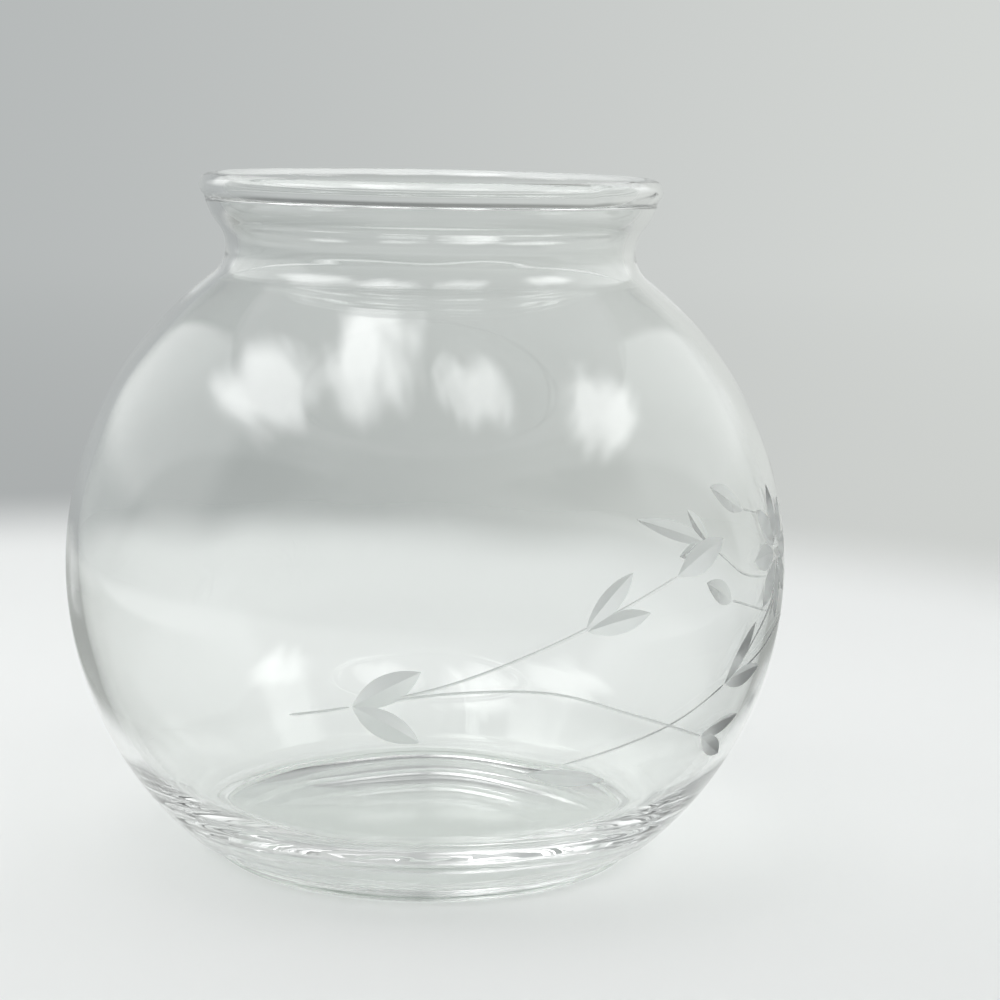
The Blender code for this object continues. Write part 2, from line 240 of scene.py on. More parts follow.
# Lamps: long soft windows round the jar, like daylight through thin curtains. Each runs between two
# directions from the globe's centre, at the same distance from it, and has a width and a radiance
LAMP_REACH = 0.95
LAMPS = {
    "left_window": ((-0.653, 0.322, 0.684), (-0.563, -0.500, 0.658), 0.46, 3.4),
    "ceiling_window": ((-0.244, 0.255, 0.937), (-0.230, -0.640, 0.736), 0.52, 4.4),
    "front_lamp": ((0.160, -0.150, 0.960), (0.270, -0.680, 0.690), 0.42, 3.0),
    "right_window": ((0.700, 0.150, 0.695), (0.660, -0.440, 0.610), 0.44, 3.0),
}

# A lamp is 1 wide and 1 long in its own measure. Its light fades between two distances from its middle, and
# the folds of its curtain make that rim uneven
LAMP_MIDDLE = (0.5, 0.5, 0.0)
LAMP_SOFT_FROM = 0.16
LAMP_SOFT_TO = 0.48
CURTAIN_FOLDS_ACROSS = 3.0
CURTAIN_FOLDS_ALONG = 1.4
CURTAIN_FOLD_DEPTH = 0.7

# The even light that comes from all round, and how much of it the glass shows
WORLD_COLOUR = (0.98, 0.99, 1.0, 1.0)
WORLD_STRENGTH = 0.72
WORLD_SHADE_IN_GLASS = 0.68

# Turns that a light path may have. With far fewer, those that wander in the base end in black lines
MOST_TURNS = 48


def leg(long_side, other_leg):
    """Third side of the right triangle between the centres of two circles that touch."""
    return math.sqrt(long_side ** 2 - other_leg ** 2)


def heading(from_point, to_point):
    """Angle of the line from one point of an outline to another."""
    return math.atan2(to_point[1] - from_point[1], to_point[0] - from_point[0])


def arc(centre, radius, start, end, step):
    """Points along an arc, both ends included."""
    count = max(1, math.ceil(abs(end - start) / step))
    points = []
    for index in range(count + 1):
        angle = start + (end - start) * index / count
        points.append((centre[0] + radius * math.cos(angle), centre[1] + radius * math.sin(angle)))
    return points


def meeting_point(first, first_reach, second, second_reach):
    """Point at given distances from two others, on the left of the line from first to second."""
    along = (second[0] - first[0], second[1] - first[1])
    span = math.hypot(*along)
    shift = (first_reach ** 2 - second_reach ** 2 + span ** 2) / (2 * span)
    rise = math.sqrt(first_reach ** 2 - shift ** 2)
    unit = (along[0] / span, along[1] / span)
    return (first[0] + unit[0] * shift - unit[1] * rise, first[1] + unit[1] * shift + unit[0] * rise)


# Circles of the jar's section, with the globe's centre at height zero
SEAT_RADIUS = FOOT_RADIUS - FOOT_TOP_EDGE_RADIUS
HEEL_CENTRE = (SEAT_RADIUS, -leg(GLOBE_RADIUS - HEEL_RADIUS, SEAT_RADIUS))
SEAT_LEVEL = HEEL_CENTRE[1] - HEEL_RADIUS
GLOBE_CENTRE = (0.0, 0.0)
GLOBE_HEIGHT = FOOT_HEIGHT + JOINT_GAP - SEAT_LEVEL
NECK_CENTRE_RADIUS = WAIST_RADIUS + NECK_BEND_RADIUS
NECK_CENTRE = (NECK_CENTRE_RADIUS, leg(GLOBE_RADIUS + NECK_BEND_RADIUS, NECK_CENTRE_RADIUS))
INNER_NECK_BEND = NECK_BEND_RADIUS + NECK_WALL
LIP_LEVEL = NECK_CENTRE[1] + LIP_RISE
LIP_OUTER_END = (WAIST_RADIUS + LIP_FLARE, LIP_LEVEL)
LIP_CENTRE = meeting_point(
    NECK_CENTRE, NECK_BEND_RADIUS + LIP_BEND_RADIUS, LIP_OUTER_END, LIP_BEND_RADIUS)
INNER_LIP_BEND = LIP_BEND_RADIUS - NECK_WALL
LIP_INNER_END = (LIP_CENTRE[0] + leg(INNER_LIP_BEND, LIP_CENTRE[1] - LIP_LEVEL), LIP_LEVEL)
INNER_RADIUS = GLOBE_RADIUS - GLOBE_WALL
INNER_CENTRE = (0.0, NECK_CENTRE[1] - leg(INNER_RADIUS + INNER_NECK_BEND, NECK_CENTRE_RADIUS))
FLOOR_LEVEL = SEAT_LEVEL + FLOOR_THICKNESS
INNER_DEPTH = INNER_CENTRE[1] - FLOOR_LEVEL
FLOOR_BEND = (INNER_RADIUS ** 2 - FLOOR_FLAT_RADIUS ** 2 - INNER_DEPTH ** 2) / (
    2 * (INNER_RADIUS - INNER_DEPTH))
FLOOR_BEND_CENTRE = (FLOOR_FLAT_RADIUS, FLOOR_LEVEL + FLOOR_BEND)
BEAD_RADIUS = BEAD_THICKNESS / 2
HALF_SEAT = (LIP_OUTER_END[0] - LIP_INNER_END[0]) / 2
BEAD_CENTRE = (LIP_OUTER_END[0] - HALF_SEAT, LIP_LEVEL + JOINT_GAP + leg(BEAD_RADIUS, HALF_SEAT))

# Fillets between the bead and the lip, outside and inside, and in the notch above the foot
OUTER_FILLET_CENTRE = meeting_point(
    BEAD_CENTRE, BEAD_RADIUS + BEAD_FILLET_RADIUS, LIP_CENTRE, LIP_BEND_RADIUS + BEAD_FILLET_RADIUS)
INNER_FILLET_CENTRE = meeting_point(
    BEAD_CENTRE, BEAD_RADIUS + BEAD_FILLET_RADIUS, LIP_CENTRE, INNER_LIP_BEND - BEAD_FILLET_RADIUS)
NOTCH_FILLET_CENTRE_RADIUS = FOOT_RADIUS + NOTCH_FILLET_RADIUS
NOTCH_FILLET_CENTRE = (
    NOTCH_FILLET_CENTRE_RADIUS,
    HEEL_CENTRE[1] - leg(HEEL_RADIUS + NOTCH_FILLET_RADIUS, NOTCH_FILLET_CENTRE_RADIUS - SEAT_RADIUS))
FOOT_JOINT_LEVEL = SEAT_LEVEL - JOINT_GAP / 2
FOOT_JOINT_ANGLE = math.pi - math.asin((FOOT_JOINT_LEVEL - NOTCH_FILLET_CENTRE[1]) / NOTCH_FILLET_RADIUS)

# In the scene's heights: the globe's centre, and the top of the part of the inside that is wavy
GLOBE_MIDDLE = Vector((0.0, 0.0, GLOBE_HEIGHT))
WAVE_TOP = GLOBE_HEIGHT + NECK_CENTRE[1]


def place(azimuth, latitude):
    """Point on the globe at an azimuth and a latitude in degrees, from the globe's centre."""
    turn = math.radians(azimuth)
    lift = math.radians(latitude)
    level = GLOBE_RADIUS * math.cos(lift)
    return Vector((level * math.sin(turn), -level * math.cos(turn), GLOBE_RADIUS * math.sin(lift)))


def ring_of_points(build, radius, level, steps):
    """Points at even steps round the axis."""
    ring = []
    for step in range(steps):
        angle = 2 * math.pi * step / steps
        ring.append(build.verts.new((radius * math.cos(angle), radius * math.sin(angle), level)))
    return ring


def object_from(build, name, materials):
    """Object with the mesh that was built, and with its materials."""
    mesh = bpy.data.meshes.new(name)
    build.to_mesh(mesh)
    build.free()
    for material in materials:
        mesh.materials.append(material)
    return bpy.data.objects.new(name, mesh)


def turned(name, outline, skin_rows, materials):
    """Closed solid of revolution.

    The outline runs anticlockwise, up the outer side and then down the inner one. skin_rows holds the first
    and last index of each stretch of it that is bare glass. The other stretches are joints with the next
    piece, which light passes straight through.
    """
    build = bmesh.new()
    rings = []
    for radius, level in outline:
        if radius < ON_AXIS:
            rings.append([build.verts.new((0.0, 0.0, level + GLOBE_HEIGHT))])
        else:
            rings.append(ring_of_points(build, radius, level + GLOBE_HEIGHT, TURN_STEPS))
    count = len(rings)
    for index in range(count):
        low = rings[index]
        high = rings[(index + 1) % count]
        if len(low) == len(high) == 1:
            continue
        bare = any(first <= index < last for first, last in skin_rows)
        for step in range(TURN_STEPS):
            following = (step + 1) % TURN_STEPS
            if len(low) == 1:
                corners = (low[0], high[following], high[step])
            elif len(high) == 1:
                corners = (low[step], low[following], high[0])
            else:
                corners = (low[step], low[following], high[following], high[step])
            face = build.faces.new(corners)
            face.smooth = True
            face.material_index = SKIN if bare else JOINT
    bmesh.ops.recalc_face_normals(build, faces=build.faces)
    piece = object_from(build, name, materials)
    bpy.context.scene.collection.objects.link(piece)
    return piece


def vee_cutter(name, line, depths, half_width_per_depth, materials):
    """Closed wedge along a line on the globe, with its edge at the given depths and its back outside."""
    build = bmesh.new()
    rows = []
    last = len(line) - 1
    for index, point in enumerate(line):
        outward = point.normalized()
        along = (line[min(index + 1, last)] - line[max(index - 1, 0)]).normalized()
        across = outward.cross(along).normalized()
        spread = across * (depths[index] + CUTTER_CLEARANCE) * half_width_per_depth
        shoulder = point + outward * CUTTER_CLEARANCE
        corners = (point - outward * depths[index], shoulder + spread, shoulder - spread)
        rows.append([build.verts.new(corner) for corner in corners])
    for row, following in zip(rows, rows[1:]):
        for side in range(3):
            other = (side + 1) % 3
            build.faces.new((row[side], row[other], following[other], following[side]))
    build.faces.new(rows[0][::-1])
    build.faces.new(rows[-1])
    for face in build.faces:
        face.material_index = CUT
        face.smooth = True
    bmesh.ops.recalc_face_normals(build, faces=build.faces)
    cutter = object_from(build, name, materials)
    cutter.location.z = GLOBE_HEIGHT
    return cutter


def leaf_cutter(name, base, tip, width, materials):
    """One wheel stroke from a leaf's base to its tip."""
    start = place(*base).normalized()
    end = place(*tip).normalized()
    line = []
    depths = []
    for index in range(LEAF_STATIONS + 1):
        share = -LEAF_OVERRUN + (1 + 2 * LEAF_OVERRUN) * index / LEAF_STATIONS
        line.append(start.lerp(end, share).normalized() * GLOBE_RADIUS)
        depths.append(LEAF_DEPTH * 4 * share * (1 - share))
    return vee_cutter(name, line, depths, width / 2 / LEAF_DEPTH, materials)


def smooth_line(places, spacing):
    """Points at about the given spacing on a smooth curve through places on the globe."""
    knots = [Vector(item) for item in places]
    knots = [2 * knots[0] - knots[1]] + knots + [2 * knots[-1] - knots[-2]]
    line = [place(*knots[1])]
    for before, start, end, after in zip(knots, knots[1:], knots[2:], knots[3:]):
        count = math.ceil((place(*end) - place(*start)).length / spacing)
        for index in range(1, count + 1):
            share = index / count
            bend_in = (end - before) / 2
            bend_out = (after - start) / 2
            spot = (
                start * (2 * share ** 3 - 3 * share ** 2 + 1)
                + bend_in * (share ** 3 - 2 * share ** 2 + share)
                + end * (3 * share ** 2 - 2 * share ** 3)
                + bend_out * (share ** 3 - share ** 2)
            )
            line.append(place(*spot))
    return line


def stem_cutter(name, places, materials):
    """A fine line that runs out of the glass at both of its ends."""
    line = smooth_line(places, STEM_STATION)
    reach = 0.0
    walked = [0.0]
    for before, after in zip(line, line[1:]):
        reach += (after - before).length
        walked.append(reach)
    depths = []
    for distance in walked:
        share = min(1.0, distance / STEM_TAPER, (reach - distance) / STEM_TAPER)
        depths.append(STEM_DEPTH * share - STEM_END_RISE * (1 - share))
    return vee_cutter(name, line, depths, STEM_WIDTH / 2 / STEM_DEPTH, materials)


def petal_places(index):
    """Inner and outer end of one petal of the blossom."""
    turn = 2 * math.pi * index / PETAL_COUNT
    azimuth, latitude = BLOSSOM_PLACE
    stretch = 1 / math.cos(math.radians(latitude))
    ends = []
    for reach in (PETAL_START, PETAL_END):
        ends.append((azimuth - reach * math.cos(turn) * stretch, latitude + reach * math.sin(turn)))
    return ends


def cut_spray(globe, materials):
    """Cut the leaves, the blossom and the stems into the outside of the globe."""
    cutters = bpy.data.collections.new("spray_cutters")
    bpy.context.scene.collection.children.link(cutters)
    tools = [leaf_cutter("cut_leaf_" + name, *leaf, materials) for name, leaf in LEAVES.items()]
    tools += [stem_cutter("cut_stem_" + name, places, materials) for name, places in STEMS.items()]
    for index in range(PETAL_COUNT):
        name = "cut_petal_%d" % (index + 1)
        tools.append(leaf_cutter(name, *petal_places(index), PETAL_WIDTH, materials))
    for tool in tools:
        cutters.objects.link(tool)
    cut = globe.modifiers.new("cut_spray", "BOOLEAN")
    cut.operation = "DIFFERENCE"
    cut.operand_type = "COLLECTION"
    cut.collection = cutters
    cut.solver = "EXACT"
    cut.material_mode = "INDEX"
    evaluated = globe.evaluated_get(bpy.context.evaluated_depsgraph_get())
    mesh = bpy.data.meshes.new_from_object(evaluated)
    globe.modifiers.clear()
    old = globe.data
    globe.data = mesh
    bpy.data.meshes.remove(old)
    for tool in tools:
        bpy.data.meshes.remove(tool.data)
    bpy.data.collections.remove(cutters)


def set_normals(piece):
    """Smooth shading with sharp edges, and the true round of the globe beside the cuts."""
    mesh = piece.data
    mesh.set_sharp_from_angle(angle=SHARP_ANGLE)
    build = bmesh.new()
    build.from_mesh(mesh)
    for edge in build.edges:
        kinds = {face.material_index for face in edge.link_faces}
        if len(kinds) > 1:
            edge.smooth = False
    build.to_mesh(mesh)
    build.free()
    round_from = HEEL_CENTRE[1] * GLOBE_RADIUS / (GLOBE_RADIUS - HEEL_RADIUS)
    round_to = NECK_CENTRE[1] * GLOBE_RADIUS / (GLOBE_RADIUS + NECK_BEND_RADIUS)
    normals = [Vector(corner.vector) for corner in mesh.corner_normals]
    for face in mesh.polygons:
        if face.material_index != SKIN:
            continue
        for loop in face.loop_indices:
            arm = mesh.vertices[mesh.loops[loop].vertex_index].co - GLOBE_MIDDLE
            if abs(arm.length - GLOBE_RADIUS) < ON_GLOBE and round_from < arm.z < round_to:
                normals[loop] = arm.normalized()
    mesh.normals_split_custom_set(normals)


def with_normals(mesh):
    """Each vertex of a mesh with its normal, as the normals are before a vertex moves."""
    return zip(mesh.vertices, [Vector(item.vector) for item in mesh.vertex_normals])


def press(mesh):
    """Push the outside of the heel and the foot in and out a little, but not the recess underneath."""
    for vertex, normal in with_normals(mesh):
        spot = vertex.co
        arm = Vector((spot.x, spot.y, 0.0))
        if arm.length < FOOT_RECESS_RADIUS or normal.dot(spot - GLOBE_MIDDLE) < 0:
            continue
        share = min(1.0, max(0.0, (HEEL_WAVE_FROM - spot.z) / (HEEL_WAVE_FROM - HEEL_WAVE_TO)))
        push = HEEL_WAVE_HEIGHT * share * noise.noise(spot / HEEL_WAVE_LENGTH)
        vertex.co = spot + arm.normalized() * push


def ripple(mesh):
    """Wave the inside of the globe's wall, and most of all its floor."""
    for vertex, normal in with_normals(mesh):
        spot = vertex.co
        if normal.dot(spot - GLOBE_MIDDLE) > 0 or spot.z > WAVE_TOP:
            continue
        low = max(0.0, 1 - max(0.0, spot.z - FLOOR_LEVEL - GLOBE_HEIGHT) / FLOOR_WAVE_UP_TO)
        height = WAVE_HEIGHT + (FLOOR_WAVE_HEIGHT - WAVE_HEIGHT) * low
        vertex.co = spot + normal * height * noise.noise(spot / WAVE_LENGTH)


def globe_piece(materials):
    """The blown bubble with its floor, neck and flared lip, in one wall."""
    neck_to_lip = heading(NECK_CENTRE, LIP_CENTRE)
    lip_to_neck = neck_to_lip - math.pi
    neck_to_globe = heading(NECK_CENTRE, GLOBE_CENTRE) + 2 * math.pi
    globe_to_neck = heading(GLOBE_CENTRE, NECK_CENTRE)
    neck_to_inner = heading(NECK_CENTRE, INNER_CENTRE) + 2 * math.pi
    inner_to_neck = heading(INNER_CENTRE, NECK_CENTRE)
    inner_to_floor = heading(INNER_CENTRE, FLOOR_BEND_CENTRE)
    globe_to_heel = heading(GLOBE_CENTRE, HEEL_CENTRE)
    lip_outer_end = heading(LIP_CENTRE, OUTER_FILLET_CENTRE)
    lip_inner_end = heading(LIP_CENTRE, INNER_FILLET_CENTRE)

    notch_end = heading(NOTCH_FILLET_CENTRE, HEEL_CENTRE)
    outer = arc(NOTCH_FILLET_CENTRE, NOTCH_FILLET_RADIUS, FOOT_JOINT_ANGLE, notch_end, TIGHT_ARC_STEP)
    heel_start = heading(HEEL_CENTRE, NOTCH_FILLET_CENTRE)
    outer += arc(HEEL_CENTRE, HEEL_RADIUS, heel_start, globe_to_heel, HEEL_ARC_STEP)[1:]
    outer += arc(GLOBE_CENTRE, GLOBE_RADIUS, globe_to_heel, globe_to_neck, WIDE_ARC_STEP)[1:]
    outer += arc(NECK_CENTRE, NECK_BEND_RADIUS, neck_to_globe, neck_to_lip, NECK_ARC_STEP)[1:]
    outer += arc(LIP_CENTRE, LIP_BEND_RADIUS, lip_to_neck, lip_outer_end, LIP_ARC_STEP)[1:]
    inner = arc(LIP_CENTRE, INNER_LIP_BEND, lip_inner_end, lip_to_neck, LIP_ARC_STEP)
    inner += arc(NECK_CENTRE, INNER_NECK_BEND, neck_to_lip, neck_to_inner, NECK_ARC_STEP)[1:]
    inner += arc(INNER_CENTRE, INNER_RADIUS, inner_to_neck, inner_to_floor, WIDE_ARC_STEP)[1:]
    inner += arc(FLOOR_BEND_CENTRE, FLOOR_BEND, inner_to_floor, DOWN, FLOOR_ARC_STEP)[1:]
    inner.append((0.0, FLOOR_LEVEL))
    outline = outer + inner + [(0.0, outer[0][1])]
    skin_rows = ((0, len(outer) - 1), (len(outer), len(outer) + len(inner) - 1))
    globe = turned("globe_glass_body", outline, skin_rows, materials)
    press(globe.data)
    ripple(globe.data)
    cut_spray(globe, materials)
    set_normals(globe)
    return globe


def lap_seam(mesh):
    """Thicken the bead towards its seam, where it drops back by a small step."""
    for vertex in mesh.vertices:
        spot = vertex.co
        azimuth = math.degrees(math.atan2(spot.x, -spot.y))
        ring = Vector((math.hypot(spot.x, spot.y) - BEAD_CENTRE[0], spot.z - BEAD_CENTRE[1] - GLOBE_HEIGHT))
        around = math.atan2(ring.y, ring.x) / math.pi
        seam = SEAM_OUTER_AZIMUTH + (SEAM_INNER_AZIMUTH - SEAM_OUTER_AZIMUTH) * max(0.0, around)
        before = (seam - azimuth) % 360.0
        clear = (spot.z - LIP_LEVEL - GLOBE_HEIGHT) / SEAM_CLEAR_OF_JOINT
        swell = max(0.0, 1 - before / SEAM_FADE) * min(1.0, max(0.0, clear))
        ring = ring.normalized() * SEAM_STEP * swell
        outward = Vector((spot.x, spot.y, 0.0)).normalized()
        vertex.co = spot + outward * ring.x + Vector((0.0, 0.0, ring.y))


def bead_piece(materials):
    """The round bead on the lip, with the fillets that fuse it to the lip's wall."""
    outer_low = heading(OUTER_FILLET_CENTRE, LIP_CENTRE)
    outer_high = heading(OUTER_FILLET_CENTRE, BEAD_CENTRE)
    inner_low = heading(LIP_CENTRE, INNER_FILLET_CENTRE)
    inner_high = heading(INNER_FILLET_CENTRE, BEAD_CENTRE)
    bead_from = heading(BEAD_CENTRE, OUTER_FILLET_CENTRE)
    bead_to = heading(BEAD_CENTRE, INNER_FILLET_CENTRE)
    if outer_low < 0:
        outer_low += 2 * math.pi
    if bead_to < bead_from:
        bead_to += 2 * math.pi
    outline = arc(OUTER_FILLET_CENTRE, BEAD_FILLET_RADIUS, outer_low, outer_high, TIGHT_ARC_STEP)
    outline += arc(BEAD_CENTRE, BEAD_RADIUS, bead_from, bead_to, TIGHT_ARC_STEP)[1:]
    outline += arc(INNER_FILLET_CENTRE, BEAD_FILLET_RADIUS, inner_high, inner_low, TIGHT_ARC_STEP)[1:]
    bead = turned("rim_bead_glass", outline, ((0, len(outline) - 1),), materials)
    lap_seam(bead.data)
    set_normals(bead)
    return bead


def foot_piece(materials):
    """The low pad under the globe, hollowed underneath so that it stands on a flat ring."""
    floor = -GLOBE_HEIGHT
    bottom_centre = (FOOT_RADIUS - FOOT_BOTTOM_EDGE_RADIUS, floor + FOOT_BOTTOM_EDGE_RADIUS)
    recess_curve = (FOOT_RECESS_RADIUS ** 2 + FOOT_RECESS_DEPTH ** 2) / (2 * FOOT_RECESS_DEPTH)
    recess_centre = (0.0, floor + FOOT_RECESS_DEPTH - recess_curve)
    recess_rim = heading(recess_centre, (FOOT_RECESS_RADIUS, floor))
    recess_step = (UP - recess_rim) / RECESS_STEPS

    skin = arc(recess_centre, recess_curve, UP, recess_rim, recess_step)[1:]
    skin += arc(bottom_centre, FOOT_BOTTOM_EDGE_RADIUS, DOWN, OUT, TIGHT_ARC_STEP)
    skin += arc(NOTCH_FILLET_CENTRE, NOTCH_FILLET_RADIUS, math.pi, FOOT_JOINT_ANGLE, TIGHT_ARC_STEP)
    outline = [(0.0, floor + FOOT_RECESS_DEPTH)] + skin + [(0.0, skin[-1][1])]
    foot = turned("foot_pad_glass", outline, ((0, len(skin)),), materials)
    press(foot.data)
    set_normals(foot)
    return foot


def new_material(name):
    """Material with an empty node tree, with its nodes and links."""
    material = bpy.data.materials.new(name)
    material.use_nodes = True
    tree = material.node_tree
    tree.nodes.clear()
    return material, tree.nodes, tree.links


def feed(links, socket, value):
    """Link an output to a socket, or give the socket a fixed value."""
    if isinstance(value, bpy.types.NodeSocket):
        links.new(value, socket)
    else:
        socket.default_value = value


def math_node(nodes, links, operation, *values):
    """Math node on outputs or numbers. Returns its output."""
    node = nodes.new("ShaderNodeMath")
    node.operation = operation
    for socket, value in zip(node.inputs, values):
        feed(links, socket, value)
    return node.outputs["Value"]


def vector_node(nodes, links, operation, *values):
    """Vector math node on outputs or fixed vectors. Returns its output."""
    node = nodes.new("ShaderNodeVectorMath")
    node.operation = operation
    for socket, value in zip(node.inputs, values):
        feed(links, socket, value)
    return node.outputs["Value" if operation == "LENGTH" else "Vector"]


def ramp(nodes, links, value, start, end, smooth=True):
    """Rises from 0 to 1 as the value goes from start to end. Returns the output."""
    node = nodes.new("ShaderNodeMapRange")
    node.interpolation_type = "SMOOTHSTEP" if smooth else "LINEAR"
    node.inputs["From Min"].default_value = start
    node.inputs["From Max"].default_value = end
    links.new(value, node.inputs["Value"])
    return node.outputs["Result"]


def mix_colours(nodes, links, share, first, second):
    """Mix of two colours, with the given share of the second. Returns its output."""
    node = nodes.new("ShaderNodeMix")
    node.data_type = "RGBA"
    feed(links, node.inputs["Factor"], share)
    feed(links, node.inputs["A"], first)
    feed(links, node.inputs["B"], second)
    return node.outputs["Result"]


def mix_shaders(nodes, links, share, first, second):
    """Mix of two shaders, with the given share of the second. Returns its output."""
    node = nodes.new("ShaderNodeMixShader")
    feed(links, node.inputs["Fac"], share)
    links.new(first, node.inputs[1])
    links.new(second, node.inputs[2])
    return node.outputs["Shader"]


def show(nodes, links, shader):
    """Make a shader the surface of its material."""
    output = nodes.new("ShaderNodeOutputMaterial")
    links.new(shader, output.inputs["Surface"])


def show_glass(nodes, links, shader):
    """Make glass the surface of its material. Lamps shine through it, so that its shadow is faint."""
    through = nodes.new("ShaderNodeBsdfTransparent")
    through.inputs["Color"].default_value = SHADOW_TINT
    in_shadow = nodes.new("ShaderNodeLightPath").outputs["Is Shadow Ray"]
    show(nodes, links, mix_shaders(nodes, links, in_shadow, shader, through.outputs["BSDF"]))


def glass_shader(nodes, tint, roughness):
    """Glass of a tint and a roughness. Returns its output."""
    glass = nodes.new("ShaderNodeBsdfPrincipled")
    glass.inputs["Base Color"].default_value = tint
    glass.inputs["Roughness"].default_value = roughness
    glass.inputs["IOR"].default_value = GLASS_IOR
    glass.inputs["Transmission Weight"].default_value = 1.0
    return glass.outputs["BSDF"]


def clear_glass(name, tint):
    """Clear fire-polished glass."""
    material, nodes, links = new_material(name)
    show_glass(nodes, links, glass_shader(nodes, tint, POLISHED))
    return material


def cut_glass():
    """Glass as a grinding wheel leaves it: satin and a little hazy."""
    material, nodes, links = new_material("cut_matt_glass")
    satin = glass_shader(nodes, CUT_TINT, CUT_ROUGHNESS)
    haze = nodes.new("ShaderNodeBsdfDiffuse")
    haze.inputs["Color"].default_value = CUT_HAZE_TINT
    show_glass(nodes, links, mix_shaders(nodes, links, CUT_HAZE, satin, haze.outputs["BSDF"]))
    return material


def fused_joint():
    """Where two pieces were fused hot there is no surface, so light passes straight on."""
    material, nodes, links = new_material("fused_joint")
    show(nodes, links, nodes.new("ShaderNodeBsdfTransparent").outputs["BSDF"])
    return material


def ray_in_glass(nodes, links, path):
    """1 for a ray that glass has mirrored or bent, else 0. Returns the output."""
    mirrored = path.outputs["Is Glossy Ray"]
    bent = path.outputs["Is Transmission Ray"]
    return math_node(nodes, links, "MAXIMUM", mirrored, bent)


def painted_screen_glow(nodes, links, split):
    """Where the white screens' painted glow is, left and right of the table. Returns an output from 0 to 1.
    """
    sideways = math_node(nodes, links, "ABSOLUTE", split.outputs["X"])
    turn = math_node(nodes, links, "ARCTAN2", sideways, split.outputs["Y"])
    soft = SCREEN_EDGE_SOFTNESS
    behind = ramp(nodes, links, turn, SCREEN_BACK_EDGE - soft, SCREEN_BACK_EDGE + soft)
    before = ramp(nodes, links, turn, SCREEN_FRONT_EDGE + soft, SCREEN_FRONT_EDGE - soft)
    rise = math_node(nodes, links, "MULTIPLY", sideways, SCREEN_RISE_SIDEWAYS)
    drop = math_node(nodes, links, "MULTIPLY", split.outputs["Y"], SCREEN_DROP_BACKWARDS)
    top = math_node(nodes, links, "SUBTRACT", rise, drop)
    under_top = math_node(nodes, links, "SUBTRACT", top, split.outputs["Z"])
    below = ramp(nodes, links, under_top, -SCREEN_TOP_SOFTNESS, SCREEN_TOP_SOFTNESS)
    above = ramp(nodes, links, split.outputs["Z"], SCREEN_FOOT_FROM, SCREEN_FOOT_TO)
    across = math_node(nodes, links, "MULTIPLY", behind, before)
    upright = math_node(nodes, links, "MULTIPLY", below, above)
    return math_node(nodes, links, "MULTIPLY", across, upright)


def painted_card_shade(nodes, links, split, reach):
    """Where the grey cards' painted shade lies, left and right behind the jar. Returns an output from 0 to
    1.
    """
    sideways = math_node(nodes, links, "ABSOLUTE", split.outputs["X"])
    depth = math_node(nodes, links, "ADD", split.outputs["Y"], CARD_EYE_DISTANCE)
    turn = math_node(nodes, links, "ARCTAN2", sideways, depth)
    soft = CARD_EDGE_SOFTNESS
    outside = ramp(nodes, links, turn, CARD_INNER_EDGE - soft, CARD_INNER_EDGE + soft)
    inside = ramp(nodes, links, turn, CARD_OUTER_EDGE + soft, CARD_OUTER_EDGE - soft)
    behind = ramp(nodes, links, split.outputs["Y"], CARD_FRONT_FROM, CARD_FRONT_TO)
    close = ramp(nodes, links, reach, CARD_REACH_TO, CARD_REACH_FROM)
    across = math_node(nodes, links, "MULTIPLY", outside, inside)
    along = math_node(nodes, links, "MULTIPLY", behind, close)
    return math_node(nodes, links, "MULTIPLY", across, along)


def room_colour(nodes, links, split, reach):
    """Wall colour with painted shade by the table and high up, and the screens' painted glow. Returns an
    output.
    """
    sideways = math_node(nodes, links, "DIVIDE", split.outputs["X"], reach)
    # Painted light: the wall is lighter on the right
    side = ramp(nodes, links, sideways, WALL_LEFT_AT, WALL_RIGHT_AT)
    wall = mix_colours(nodes, links, side, WALL_LEFT_SHADED, WALL_RIGHT_LIT)
    # Painted shade: darker near the table and high up
    far = ramp(nodes, links, reach, TABLE_FADE_TO, WALL_FAR_REACH, False)
    gain = math_node(nodes, links, "MULTIPLY", far, 1 - WALL_NEAR_SHADE)
    strength = math_node(nodes, links, "ADD", gain, WALL_NEAR_SHADE)
    dusk = ramp(nodes, links, split.outputs["Z"], DUSK_FROM, DUSK_TO)
    loss = math_node(nodes, links, "MULTIPLY", dusk, DUSK_SHADE - 1)
    strength = math_node(nodes, links, "ADD", strength, loss)
    shaded = nodes.new("ShaderNodeVectorMath")
    shaded.operation = "SCALE"
    links.new(wall, shaded.inputs["Vector"])
    links.new(strength, shaded.inputs["Scale"])
    # Painted light: the screens' glow over the wall's grey
    screen_glow = painted_screen_glow(nodes, links, split)
    return mix_colours(nodes, links, screen_glow, shaded.outputs["Vector"], SCREEN_GLOW_COLOUR)


